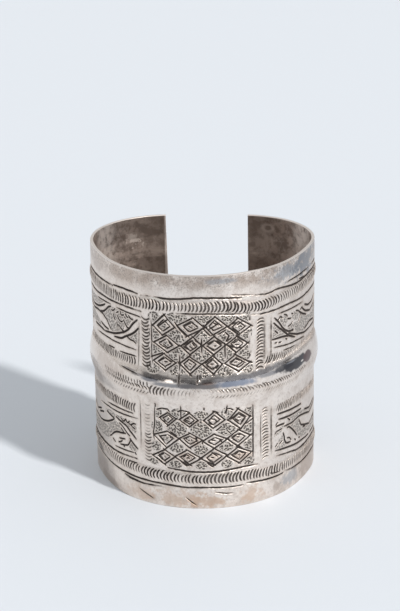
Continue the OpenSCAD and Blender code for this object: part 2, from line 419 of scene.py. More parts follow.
# Lines drawn with a small tracing chisel, tapped along by hand: the lines beside the ropes, the
# frames of the panels, the leaf sprigs of the side panels and a few slips across the ridge.
TRACE_STEP = 0.3
line_tree, size = new_tree("traced line", [
    "Step", "Waver", "Breadth", "Overshoot", "Miss", "Lightness"], {"Seed": "Int"})
longer = add(line_tree, "FunctionNodeRandomValue", {
    2: 1.0, 3: plus(1.0, size["Overshoot"]), "Seed": size["Seed"]}).outputs[1]
traced = made(line_tree, "GeometryNodeScaleElements", {
    "Geometry": size["Geometry"], "Scale": longer}, domain="EDGE")
traced = moved(traced, scaled(drawn((-1, -1, 0), (1, 1, 0), size["Seed"]), size["Miss"]))
traced = even_line(traced, size["Step"])
tapering = times(calc("POWER", from_middle(line_tree), 4.0), 2.0)
drift = add(line_tree, "ShaderNodeTexNoise", {"Scale": 0.7, "Detail": 3.0}).outputs["Color"]
drift = made(line_tree, "ShaderNodeVectorMath", {0: drift, 1: (0.5, 0.5, 0.35)},
             operation="SUBTRACT")
traced = moved(traced, scaled(drift, size["Waver"]))
traced = moved(traced, vector(line_tree, Z=plus(size["Lightness"], tapering)))
traced = made(line_tree, "GeometryNodeSetCurveNormal", {"Curve": traced}, mode="Z_UP")
chisel = made(line_tree, "GeometryNodeCurvePrimitiveLine", {
    "Start": vector(line_tree, X=times(size["Breadth"], -0.5)),
    "End": vector(line_tree, X=times(size["Breadth"], 0.5))})
traced = made(line_tree, "GeometryNodeCurveToMesh", {"Curve": traced, "Profile Curve": chisel})
close_tree(line_tree, traced)

rope_lines = [
    [(-81, 60.2), (-60, 60), (-42, 59.9), (-38, 60), (-30, 60.2), (-27, 60.3)],
    [(-26.6, 60.6), (-22, 60.8), (-17, 60.4)],
    [(-16, 60.2), (-12, 60.4, 0.12), (-8.5, 60.3), (-5, 60.5), (-2, 60.8), (1, 60.9), (4, 60.8),
     (7, 60.6), (9, 60.4), (12, 60.1)],
    [(16, 60.2), (20, 59.8), (24, 60.2), (28, 59.8), (33, 59.3), (44, 59.6), (62, 60.2),
     (81, 60.2)],
    [(-81, 55.6), (-60, 55.2), (-41, 55), (-34, 55.5), (-24, 55.9), (-16, 55.6)],
    [(14.5, 55), (17, 54.7), (20, 54.5), (28, 54.7), (34, 54.2), (41, 54.3), (60, 55), (81, 55.6)],
    [(-81, 11.4), (-60, 11.6), (-40, 11.3), (-28, 11.6), (-22, 12), (-18.8, 12.1)],
    [(-9, 11.6), (-6, 11.3), (-3, 11), (0, 10.9), (4, 10.9), (7, 11.1), (10, 11.3), (13, 11.4),
     (16.5, 11.3)],
    [(30, 10.6), (38, 10), (60, 10.8), (81, 11.2)],
    [(-81, 6.5), (-60, 6.7), (-40, 7, 0.1), (-24, 6.7), (-16, 6.6), (-12, 6.6), (-8, 6.5),
     (-4, 6.2), (0, 6.3), (6, 6.1), (12, 6)],
    [(-24, 5.7, 0.1), (-20, 5.5, 0.06), (-16.5, 5.4, 0.06), (-13, 5.6, 0.1), (-9, 5.9, 0.15)],
    [(13, 6.4), (16, 6.2), (20, 5.9), (26, 5.8)],
    [(26.5, 6.4), (30, 5.7), (40, 5.4), (60, 6.1), (81, 6.5)],
]
panel_frames = [
    [(-12.9, 55.2), (-12.8, 50), (-12.9, 44), (-12.7, 40.5)], [(14.45, 54.9), (14.35, 53.2)],
    [(14.3, 50, 0.1), (14.25, 47, 0.06), (14.3, 44.5, 0.1)],
    [(-12.4, 29.3, -0.04), (-12.6, 24, -0.04), (-13, 21, -0.04), (-12.7, 19)],
    [(15.1, 29.2, -0.06), (15.1, 21, -0.06), (15.05, 13.5, -0.06)],
]
uprights = points_of([
    (-16.7, 53.7, -17, 46, -17.4, 38.4), (-17.05, 31, -17.1, 23, -17.2, 15),
    (17.6, 27, 17.5, 20, 17.6, 12.2),
])
right_uprights = points_of([
    (19, 53.8, 18.9, 46, 18.8, 39.6), (21.3, 53.8, 21.2, 46, 21.1, 39.5),
    (21.2, 28.5, 21.2, 20, 21.1, 12),
])
slips = points_of([
    (-5.1, 39.8, -5.05, 36.4), (-0.2, 39.6, -0.2, 36.8), (0.5, 39.6, 0.45, 37.6),
    (-4.9, 45, -5, 39.7), (1, 50, 1.05, 45), (-12.2, 30.3, -12.2, 28.8), (-4.9, 30.5, -4.9, 26),
    (7.7, 30.5, 7.3, 27.4), (1.4, 29.9, 1.4, 28.8), (7.2, 48.2, 7.3, 43.4), (-24, 38.5, -17, 37.7),
    (-18.5, 3.7, -15.5, 2.4, -13.2, 1.5), (-4, 3.2, -1, 0.9), (4, 4.8, 6.6, 4.3, 9.2, 4),
])
second_lines = [[(8, 61.3, 0.1), (12, 60.9, 0.08), (16, 60.3, 0.05)]] + points_of([
    (20, 7.8, 22, 7.1, 24.5, 6.9),
    (-6, 56.3, -3, 56.45, 0, 56.4, 3, 56.4, 6, 56.2, 10, 55.8, 13, 55.4), (-22, 10.8, -18.5, 10.9),
    (-38.5, 53.6, -30, 54.4, -28, 54.5), (-25.5, 54.5, -19, 54.2, -16, 53.9),
    (24, 53.1, 30, 52.9, 36.5, 52.7), (27.5, 61.1, 41, 61.2), (34, 60, 38, 59.6),
    (-24, 6, -18, 5.6), (-39, 43.5, -33, 44.1, -24, 44.4, -18, 44.2), (-30.5, 42, -27, 42.3),
    (-24.5, 42.2, -18, 42.4), (22, 43.9, 25, 43.5, 30, 43, 38, 42.2), (26, 42, 32, 41.6),
    (-33, 24.4, -28, 25, -19.8, 25.3), (-38, 22.9, -32, 23.4, -24, 23.9, -18, 24.2),
    (-28.5, 13, -22, 13.5, -19.5, 13.7), (23, 11.8, 28.5, 11.1, 33, 10.2, 38, 9.7),
])
stems = points_of([
    # Upper left
    (-17.3, 52.9, -18.8, 51.6, -20.3, 49.8, -22, 48.5, -24, 47.6, -27, 46.6, -30, 46, -33, 45.4),
    (-17, 50.6, -18.4, 49.2, -20, 48.1, -22.2, 47, -23.6, 46.2, -27, 45.7),
    (-42.6, 50.4, -38, 51.1, -34.4, 52.3, -32.2, 53.4),
    (-36, 50.2, -34, 50.7, -32, 51.8, -30, 53.2, -28.4, 53.9),
    (-42.6, 49.2, -38, 49.9, -34.2, 49.9), (-34.2, 49.9, -31.4, 49.2, -30, 48.2, -28.6, 47.2),
    (-35.6, 47.2, -33, 46.8, -30.2, 46.7), (-41, 45.3, -36, 45.5, -33, 45.4),
    # Upper right
    (22.5, 52.3, 24.2, 50.6, 26, 48.4, 28.2, 46.9, 31.2, 46.3),
    (22.2, 50.9, 24.5, 48.8, 27.5, 46.4, 29, 45.3, 32, 44),
    (28.5, 46.2, 31, 45.2, 33, 44.5, 36, 43.8, 38, 43.4, 42.6, 43.2),
    (21.4, 46.3, 26, 46, 28.5, 45.4), (33.6, 51.2, 34.6, 50.4, 36.5, 49.3, 39.5, 48),
    (36, 51.3, 38.5, 49.5, 42.6, 48.2), (38, 51.5, 40.5, 50.5, 42.6, 50.3), (38, 44.4, 42.6, 45.2),
    # Lower left
    (-42.6, 17, -38, 17.2, -33.5, 18.4, -30, 20, -28.4, 21),
    (-33.6, 21.5, -31.4, 21.3, -28.6, 21.1), (-42.6, 18.9, -38, 20.6), (-40, 19, -36, 20.3),
    (-27.6, 21.9, -23, 20.9, -21.5, 20, -20, 18.9, -18.8, 17.9),
    (-21.3, 17.5, -20.3, 16.6, -18.3, 15.1),
    (-30.4, 15.6, -28.6, 16.9, -27, 17.6, -25, 18, -23, 18.4),
    # Lower right
    (26.4, 19.6, 30.5, 19.4, 34, 19.7, 38, 19.1, 42.6, 17.8),
    (27.8, 18.6, 28.8, 18.6, 31.3, 16.5, 33.2, 14.4),
    (34.4, 18.8, 35.3, 17.3, 36.5, 16.3, 42.6, 14.3),
    (25.9, 17.8, 26.4, 16.6, 26.6, 15.4, 27.4, 14.3, 29.6, 13.9), (38, 20.4, 42.6, 19.2),
    (23.5, 24.1, 28, 23.7, 36, 22.9), (24, 22.4, 29, 21.9, 36, 21.4),
    (22.6, 13.5, 28, 12.8, 34, 12, 42, 11.4), (23, 20.5, 24.4, 20.6, 26.5, 20.4),
])
leaves = points_of([
    # Upper left
    (-21.3, 47.2, -20, 46.7, -19, 46.6, -18, 46),
    (-22.6, 51.7, -21.8, 50.7, -21.1, 49.9, -20.5, 49.7),
    (-25.3, 52.4, -24.6, 51.4, -23.6, 50.9, -22.9, 51.2), (-27.3, 52.2, -26.8, 51, -26.3, 50.7),
    (-25.7, 50.3, -25.2, 49.4, -25, 48.9), (-24.8, 49.7, -23.5, 48.8, -22.4, 48.4),
    (-28.3, 53, -27.2, 53.1, -26.3, 53.9), (-25.7, 52.9, -24.6, 53.5),
    (-23.8, 53.9, -23.4, 52.9, -22.3, 53.2), (-21.7, 53.7, -21.2, 53, -20.6, 52.8),
    (-20.4, 53.5, -19.8, 52.8, -18.8, 52.6), (-22.2, 52.7, -21.6, 52.3),
    # Upper right
    (23.9, 51.3, 24.9, 52, 25.7, 51.4), (26.4, 52.2, 27.7, 51.6, 27.9, 51), (28, 50.5, 30, 50),
    (28.2, 48.2, 29.8, 48.4, 30.6, 48.9), (30, 51.4, 31, 51), (32.4, 51.5, 33.8, 51),
    (33.8, 47.8, 35.4, 49.9), (22.6, 45.1, 23.4, 45), (24.1, 44.8, 25.2, 44.7),
    (27, 45.1, 27.8, 44.7), (22.6, 48.6, 23.9, 47.5), (29.5, 46.6, 31, 46.6),
    (35, 50.9, 36.5, 51.3),
    # Lower left
    (-26, 20.6, -24.5, 20.2, -22.4, 18.8, -21.3, 18.2), (-25.3, 19.4, -24.4, 18.9, -23.8, 18.4),
    (-25.3, 22.6, -24.4, 22, -23.5, 21.9, -22.9, 22.7, -22.2, 21.9, -21.2, 22.6),
    (-21.6, 21.9, -20.4, 21.4), (-20.8, 21.6, -19.7, 22.3, -18.9, 22.3), (-20.3, 21.2, -19.2, 20.8),
    (-26, 16.1, -23.3, 16.7), (-26.5, 14.7, -25, 15.4, -24.6, 15.9),
    (-25.6, 14.4, -22.5, 15.1, -21.6, 15.9, -21.1, 16.9), (-19.4, 13.9, -19, 13.3),
    (-31.8, 14.7, -30.2, 15.5), (-29.8, 14.7, -28.2, 14.2), (-24.2, 14.5, -23.6, 14.2),
    # Lower right
    (22.9, 21, 23.7, 21.6), (28, 21.4, 29.3, 20.4), (27.8, 15.6, 28.8, 15.4, 29.8, 14.3),
    (22.6, 18.4, 23.3, 19, 25.6, 19.2), (22.7, 14.6, 23.6, 15.4), (31.6, 13.9, 32.5, 13.3),
    (34.2, 13.4, 35.1, 13.1), (24.3, 14.9, 25.6, 15.6), (37, 15.5, 39, 15),
])
# Each set of lines with its waver, breadth, overshoot, miss, lightness and seed
traces = (
    ("lozenges", liner_cuts(1.04), 0.06, 0.02, 0.3, 0.1, 0.0, 21),
    ("stray cuts", straight(stray_cuts), 0.06, 0.02, 0.1, 0.03, 0.0, 22),
    ("lozenges inside", liner_cuts(0.6), 0.06, 0.0, 0.2, 0.17, 0.06, 31),
    ("lozenge middles", straight(lozenge_middles), 0.05, 0.01, 0.1, 0.05, 0.05, 41),
    ("rope lines", rope_lines, 0.3, 0.14, 0.0, 0.0, 0.0, 0),
    ("panel frames", panel_frames, 0.2, 0.04, 0.0, 0.0, 0.1, 0),
    ("uprights", struck_twice(uprights), 0.15, 0.04, 0.0, 0.0, 0.14, 0),
    ("right uprights", struck_twice(right_uprights), 0.15, 0.35, 0.0, 0.0, 0.14, 0),
    ("slips", slips, 0.1, 0.05, 0.0, 0.0, 0.1, 0),
    ("second lines", struck_twice(second_lines), 0.25, 0.06, 0.0, 0.0, 0.04, 0),
    ("stems", struck_twice(stems), 0.15, 0.18, 0.0, 0.0, 0.0, 0),
    ("leaves", struck_twice(leaves), 0.1, 0.06, 0.0, 0.0, 0.0, 0),
)
cuts = []
for trace_name, paths, waver, breadth, overshoot, miss, lightness, seed in traces:
    cuts.append(worked(trace_name, scribed(trace_name, paths), line_tree, {
        "Step": TRACE_STEP, "Waver": waver, "Breadth": breadth, "Overshoot": overshoot,
        "Miss": miss, "Lightness": lightness, "Seed": seed}))
# Fields of matted ground between the leaves
sprig_grounds = points_of([
    (-31.2, 52.4, -28, 53.9, -21.5, 54, -18.8, 53, -20.9, 50.5, -22, 50.7, -22.6, 49.1, -22.6, 48.4,
     -26, 47.3, -28.4, 47, -29, 48.4, -30.5, 49.4, -34, 50.6),
    (-20.8, 47.3, -17.6, 46.2, -17.6, 49.4, -19.5, 48.3),
    (-42.8, 51.3, -37, 52, -33.2, 53.8, -42.8, 53.2),
    (-42.8, 46, -36, 46.2, -36, 47.2, -42.8, 48.9),
    (22.1, 46.6, 26.6, 46.3, 24.3, 48.3, 22.1, 50.3),
    (24.6, 51, 25.2, 51.9, 26.2, 51.4, 27, 52, 28, 51.2, 28.2, 50.3, 27.2, 49.3, 26.6, 48.6, 25.6,
     49.8),
    (28, 47.4, 30.5, 48.3, 33.8, 47.9, 35, 49.7, 38, 48.1, 42.8, 46.8, 42.8, 45.5, 37, 44.2, 33,
     45.1, 31, 46.7),
    (30.2, 50.2, 30.9, 51.4, 32.5, 51.2, 33.9, 50.2, 33, 48.8, 31.5, 49.2),
    (-34, 21.8, -31, 22.6, -27, 22.5, -24.6, 22.9, -22.5, 22.2, -20, 22.7, -18.8, 22, -18.9, 19.6,
     -21.5, 20.9, -24, 21.5, -27.2, 22, -28.3, 21.4),
    (-28.2, 20.6, -25.8, 20.2, -24.2, 19.2, -23.2, 18.6, -26, 18, -28, 17.4, -30.5, 16, -31.8, 17.6,
     -34, 18, -31, 19.2),
    (-42.8, 15.8, -36, 17, -31.8, 17, -30.4, 15.4, -31.6, 14.3, -34, 13.6, -42.8, 12.8),
    (-21, 17.2, -19, 15.5, -18.6, 14.6, -19.6, 13.9, -21.4, 14.6, -21.4, 15.6),
    (22.2, 17.8, 22.6, 18.8, 26, 20.2, 26.1, 19.3, 24.3, 18.2),
    (22.8, 14.1, 23.6, 15.7, 25.8, 17.3, 26.2, 15.6, 27.1, 14.2, 26.2, 13.6),
    (28, 21.5, 33, 21.1, 42.8, 19.6, 42.8, 18.4, 38, 19.3, 34, 20, 28.6, 19.9),
    (29.2, 18.6, 34.2, 19, 35, 17.4, 36, 16.4, 42.8, 14.2, 42.8, 12.5, 36, 12.8, 33.4, 14.2, 32,
     16.2),
])
grounds += struck_twice(sprig_grounds)


# The cuff itself: one sheet of silver with a hollow ridge raised along its middle and a low swell
# under each rope, bent cold into a cuff that is open at the back. It shows here as five bands of
# one sheet that meet at its level lines, and every mark above is sunk into it as it is bent.
MILLIMETRE = 0.001
CUFF_HEIGHT = 67.0
SHEET_THICKNESS = 0.85
SHEET_END = 81.22
RIM_ROUNDING = 0.18
RIDGE_MIDDLE, RIDGE_REACH = 34.8, 90
FRONT_RADIUS, FLANK_RADIUS, BACK_RADIUS = 28.6, 52.5, 20.7
FRONT_TURN, FLANK_TURN = math.radians(59.6), math.radians(17)
FRONT_MIDDLE = 1.615
FINE_STEP, COARSE_STEP, ROW_STEP, INNER_STEP = 0.16, 0.3, 0.19, 1.0
SEEN_REACH = 43.5
# Beyond this length the sheet's ends lie a little to one side, and the left one leans
ENDS_FROM, ENDS_SHIFT, LEFT_END_LEAN = 60, 0.45, -0.02
# The ends' edges are rounded: how far from the end, and how much thinner each face is there
END_MARGIN = 0.6
END_STEPS, END_THINNING = np.array([0.0, 0.1, 0.25]), [0.16, 0.05, 0.0]
PLAN_END, PLAN_POINTS = SHEET_END + 3, 920
SHARP_ANGLE = 0.8
MOST_STORED = 4.0


def bent_line(along):
    """Where a length along the outer face comes to lie once the sheet is bent, in plan."""
    reach, side = abs(along), math.copysign(1, along)
    front, flank = FRONT_RADIUS * FRONT_TURN, FLANK_RADIUS * FLANK_TURN
    x, y, turn, r = 0.0, FRONT_MIDDLE, reach / FRONT_RADIUS, FRONT_RADIUS
    if reach > front:
        x += (FRONT_RADIUS - FLANK_RADIUS) * math.sin(FRONT_TURN)
        y -= (FRONT_RADIUS - FLANK_RADIUS) * math.cos(FRONT_TURN)
        turn, r = FRONT_TURN + (reach - front) / FLANK_RADIUS, FLANK_RADIUS
    if reach > front + flank:
        x += (FLANK_RADIUS - BACK_RADIUS) * math.sin(FRONT_TURN + FLANK_TURN)
        y -= (FLANK_RADIUS - BACK_RADIUS) * math.cos(FRONT_TURN + FLANK_TURN)
        turn, r = FRONT_TURN + FLANK_TURN + (reach - front - flank) / BACK_RADIUS, BACK_RADIUS
    return side * (x + r * math.sin(turn)), y - r * math.cos(turn)


def joined(name, meshes):
    """One mesh of all the marks' edges."""
    points, edges = [], []
    for mesh in meshes:
        edges += [(e.vertices[0] + len(points), e.vertices[1] + len(points)) for e in mesh.edges]
        points += [tuple(v.co) for v in mesh.vertices]
    whole = bpy.data.meshes.new(name)
    whole.from_pydata(points, edges, [])
    return whole


def flat_patches(name, patches):
    """A flat mesh of patches, each a list of corners."""
    corners, faces = [], []
    for patch in patches:
        faces.append(tuple(range(len(corners), len(corners) + len(patch))))
        corners += [(x, y, 0) for x, y in patch]
    mesh = bpy.data.meshes.new(name)
    mesh.from_pydata(corners, [], faces)
    return mesh


def flat_band(name, low, high):
    """A closed flat band of the sheet between two heights, with a rounded rim if it has one."""
    turns = np.linspace(0, math.pi / 2, 4)
    round_out, round_in = RIM_ROUNDING * np.sin(turns), RIM_ROUNDING * (1 - np.cos(turns))
    rows_out = int(round((high - low) / ROW_STEP)) + 1
    rows_in = int(round((high - low) / INNER_STEP)) + 1
    has_low, has_high = low == 0, high == CUFF_HEIGHT
    bottom, top = low + RIM_ROUNDING * has_low, high - RIM_ROUNDING * has_high
    loop = [(y, 0.0) for y in np.linspace(bottom, top, rows_out)]
    going = list(zip(round_out[1:], round_in[1:]))
    coming = going[::-1]
    if has_high:
        loop += [(top + a, -b) for a, b in going]
        loop += [(top + a, b - SHEET_THICKNESS) for a, b in coming]
    loop += [(y, -SHEET_THICKNESS) for y in np.linspace(top, bottom, rows_in)]
    if has_low:
        loop += [(bottom - a, b - SHEET_THICKNESS) for a, b in going]
        loop += [(bottom - a, -b) for a, b in coming]
    near = np.linspace(0, SEEN_REACH, int(SEEN_REACH / FINE_STEP) + 1)
    far_columns = int((SHEET_END - SEEN_REACH) / COARSE_STEP)
    far = np.linspace(SEEN_REACH, SHEET_END - END_MARGIN, far_columns)
    half = np.concatenate([near, far[1:], SHEET_END - END_STEPS[::-1]])
    along = np.concatenate([-half[:0:-1], half])
    thin = np.interp(SHEET_END - np.abs(along), END_STEPS, END_THINNING)
    loop = np.array(loop)
    middle = -SHEET_THICKNESS / 2
    out = middle + (loop[None, :, 1] - middle) * (1 - thin[:, None] / -middle)
    near_end = np.clip((np.abs(along) - ENDS_FROM) / (SHEET_END - ENDS_FROM), 0, 1)[:, None]
    leaning = np.where(along[:, None] < 0, LEFT_END_LEAN * (CUFF_HEIGHT - loop[None, :, 0]), 0)
    placed = along[:, None] + near_end * (leaning - ENDS_SHIFT)
    points = np.stack([placed, np.repeat(loop[None, :, 0], len(along), 0), out], -1)
    count, ring = len(along), len(loop)
    i, j = np.meshgrid(np.arange(count - 1), np.arange(ring), indexing="ij")
    k = (j + 1) % ring
    quads = np.stack([i * ring + j, (i + 1) * ring + j, (i + 1) * ring + k, i * ring + k], -1)
    caps = [list(range(ring)), list(range(count * ring - 1, (count - 1) * ring - 1, -1))]
    mesh = bpy.data.meshes.new(name)
    mesh.from_pydata(points.reshape(-1, 3).tolist(), [], quads.reshape(-1, 4).tolist() + caps)
    return mesh


plan_points = [bent_line(s) for s in np.linspace(-PLAN_END, PLAN_END, PLAN_POINTS)]
ridge_path = [(-RIDGE_REACH, RIDGE_MIDDLE), (RIDGE_REACH, RIDGE_MIDDLE)]
guide_meshes = {
    "Cuts": joined("all cuts", cuts),
    "Punch marks": joined("all punch marks", punches),
    "Grounds": flat_patches("grounds", grounds),
    "Plan": scribed("plan", [plan_points]),
    "Rope paths": scribed("rope paths", [upper_rope, lower_rope]),
    "Ridge path": scribed("ridge path", [ridge_path]),
}
guides = {name: put_in_scene(mesh.name, mesh) for name, mesh in guide_meshes.items()}
sheet_sizes = {
    "Thickness": SHEET_THICKNESS, "Cut reach": 0.34, "Cut depth": 0.22,
    "Punch reach": 0.34, "Punch depth": 0.22, "Ground reach": 0.5, "Ground depth": 0.045,
    "Ridge breadth": 10.2, "Ridge rise": 1.1, "Rope breadth": 3.4, "Rope rise": 0.35,
    "Half length": PLAN_END,
}
sheet_tree, size = new_tree("chased and bent sheet", sheet_sizes, {
    **dict.fromkeys(guides, "Object"), "Metal": "Material"})
is_corner = made(sheet_tree, "FunctionNodeCompare", {
    0: made(sheet_tree, "GeometryNodeInputMeshEdgeAngle"), 1: SHARP_ANGLE})
sheet = made(sheet_tree, "GeometryNodeSetShadeSmooth", {
    "Geometry": size["Geometry"], "Selection": is_corner, "Shade Smooth": False}, domain="EDGE")
place = add(sheet_tree, "ShaderNodeSeparateXYZ", {
    0: made(sheet_tree, "GeometryNodeInputPosition")}).outputs
on_face = vector(sheet_tree, X=place["X"], Y=place["Y"])
outside = between(calc("DIVIDE", place["Z"], size["Thickness"]), -0.6, -0.25, 1.0, "LINEAR")


def shape_of(guide):
    """The shape of a guide that only this tree reads."""
    return add(sheet_tree, "GeometryNodeObjectInfo", {"Object": size[guide]}).outputs["Geometry"]


def distance_to(guide, part="EDGES"):
    """How far a point on the flat sheet is from the nearest line or patch of a guide."""
    return add(sheet_tree, "GeometryNodeProximity", {
        "Geometry": shape_of(guide), "Sample Position": on_face},
        target_element=part).outputs["Distance"]


def swelling(distance, breadth, rise, softness):
    """A rounded rise beside a line, with a soft foot: half of p + sqrt(p * p + softness)."""
    part = calc("DIVIDE", times(distance, 2.0), breadth)
    p = times(rise, minus(1.0, times(part, part)))
    return times(plus(p, calc("SQRT", plus(times(p, p), softness))), 0.5)


def unevenness(scale, amount, detail):
    """Hand-worked unevenness of the sheet, up to amount each way."""
    noise = made(sheet_tree, "ShaderNodeTexNoise", {
        "Vector": on_face, "Scale": scale, "Detail": detail})
    return times(minus(noise, 0.5), 2.0 * amount)


def pressed(distance, mark):
    """How deep the silver is pressed in at a distance from a mark."""
    return times(between(distance, size[mark + " reach"], 0.0), size[mark + " depth"])


ridge_out = swelling(distance_to("Ridge path"), size["Ridge breadth"], size["Ridge rise"], 0.03)
rope_out = swelling(distance_to("Rope paths"), size["Rope breadth"], size["Rope rise"], 0.004)
to_cut, to_punch = distance_to("Cuts"), distance_to("Punch marks")
to_ground = distance_to("Grounds", "FACES")
sunk = calc("MAXIMUM", pressed(to_cut, "Cut"), pressed(to_punch, "Punch"))
sunk = calc("MAXIMUM", sunk, pressed(to_ground, "Ground"))
hammered = plus(unevenness(0.11, 0.12, 1.0), unevenness(0.6, 0.007, 1.0))
face_out = plus(times(outside, minus(rope_out, sunk)), plus(ridge_out, hammered))
inner_dents = times(minus(1.0, outside), unevenness(0.22, 0.07, 0.0))
face_out = plus(plus(face_out, inner_dents), place["Z"])

for stored, distance in (("to_cut", to_cut), ("to_punch", to_punch), ("to_ground", to_ground)):
    sheet = made(sheet_tree, "GeometryNodeStoreNamedAttribute", {
        "Geometry": sheet, "Name": stored, "Value": calc("MINIMUM", distance, MOST_STORED)})
sheet = made(sheet_tree, "GeometryNodeStoreNamedAttribute", {
    "Geometry": sheet, "Name": "on_sheet",
    3: vector(sheet_tree, X=place["X"], Y=place["Y"], Z=outside)}, data_type="FLOAT_VECTOR")
laid = add(sheet_tree, "GeometryNodeSampleCurve", {
    "Curves": made(sheet_tree, "GeometryNodeMeshToCurve", {"Mesh": shape_of("Plan")}),
    "Length": plus(place["X"], size["Half length"])}, mode="LENGTH", use_all_curves=True).outputs
run = add(sheet_tree, "ShaderNodeSeparateXYZ", {0: laid["Tangent"]}).outputs
bent = scaled(vector(sheet_tree, X=run["Y"], Y=times(run["X"], -1.0)), face_out)
for part in (laid["Position"], vector(sheet_tree, Z=place["Y"])):
    bent = made(sheet_tree, "ShaderNodeVectorMath", {0: bent, 1: part})
sheet = made(sheet_tree, "GeometryNodeSetPosition", {
    "Geometry": sheet, "Position": scaled(bent, MILLIMETRE)})
close_tree(sheet_tree, sheet, size["Metal"])

silver = bpy.data.materials.new("worn_silver")
silver.use_nodes = True
coat = silver.node_tree
coat.nodes.clear()


def named(output, attribute):
    """A value stored on the sheet when it was made."""
    return add(coat, "ShaderNodeAttribute", attribute_name=attribute).outputs[output]


def tint(amount, under, over):
    """One colour laid over another by an amount."""
    return add(amount.id_data, "ShaderNodeMix", {0: amount, 6: under, 7: over},
               data_type="RGBA").outputs[2]


def cloud(scale, detail, roughness=0.6):
    """Uneven patches over the metal."""
    return made(coat, "ShaderNodeTexNoise", {
        "Vector": add(coat, "ShaderNodeTexCoord").outputs["Object"], "Scale": scale,
        "Detail": detail, "Roughness": roughness})


SILVER = (0.88, 0.8, 0.735, 1)
GLINT = (0.97, 0.92, 0.84, 1)
WARM_SILVER = (0.82, 0.7, 0.6, 1)
RUBBED_SILVER = (0.8, 0.71, 0.64, 1)
PALE_RING = (0.66, 0.57, 0.51, 1)
TARNISH = (0.05, 0.04, 0.036, 1)
BLUE_TARNISH = (0.31, 0.345, 0.39, 1)
BROWN_TARNISH = (0.46, 0.37, 0.31, 1)
SPECK = (0.3, 0.25, 0.22, 1)
ORANGE_STAIN = (0.62, 0.44, 0.32, 1)
GROUND_DARK, GROUND_LIGHT = (0.075, 0.063, 0.055, 1), (0.67, 0.605, 0.54, 1)
INSIDE, INSIDE_DARK = (0.6, 0.5, 0.44, 1), (0.3, 0.24, 0.205, 1)
UPPER_RIM_FOOT = 61.0
RUBBED_PLACE = 60.0
BURNISHED_LINE = 37.0
on_sheet = named("Vector", "on_sheet")
spot = add(coat, "ShaderNodeSeparateXYZ", {0: on_sheet})
along, high_up, outer_face = (spot.outputs[axis] for axis in "XYZ")
round_side = calc("ABSOLUTE", along)
cut_away, punch_away, ground_away = (
    named("Fac", attribute) for attribute in ("to_cut", "to_punch", "to_ground"))
patina = between(cloud(240, 3), 0.36, 0.6)
in_cut = times(between(cut_away, 0.27, 0.12), outer_face)
in_punch = times(between(punch_away, 0.33, 0.16), outer_face)
in_punch = times(in_punch, plus(0.8, times(patina, 0.2)))
dark = calc("MAXIMUM", in_cut, in_punch)
beside = between(calc("MINIMUM", cut_away, punch_away), 1.0, 0.2)
grounded = times(between(ground_away, 0.25, 0.05), outer_face)
# The matting stops short of each cut and leaves a bright band beside it: a painted highlight along
# the cut's edge
grounded = times(grounded, between(cut_away, 0.3, 0.55))
pricks = add(coat, "ShaderNodeTexVoronoi", {
    "Vector": on_sheet, "Scale": 1.8, "Randomness": 0.95}, voronoi_dimensions="2D")
pricks = between(pricks.outputs["Distance"], 0.32, 0.56)
raggedness = minus(cloud(480, 6, 0.7), 0.5)


def colour_patch(at_along, at_height, reach_along, reach_up, ragged=0.5, edge=0.45, square=2.0):
    """A patch of about this reach round a place on the sheet, with a ragged edge; it lays stains,
    painted reflections and painted highlights.
    """
    x = calc("DIVIDE", distance_from(at_along, along), reach_along)
    y = calc("DIVIDE", distance_from(at_height, high_up), reach_up)
    away = plus(calc("POWER", x, square), calc("POWER", y, square))
    away = plus(calc("POWER", away, 1.0 / square), times(raggedness, 3.0 * ragged))
    return between(away, 1.15, edge)


def patched_over(metal, laid_patches):
    """A colour with patches laid over it, each an amount, a place as the patch above takes it and a
    tone. The patches are stains, painted reflections and painted highlights.
    """
    for amount, place, tone in laid_patches:
        metal = tint(times(colour_patch(*place), amount), metal, tone)
    return metal


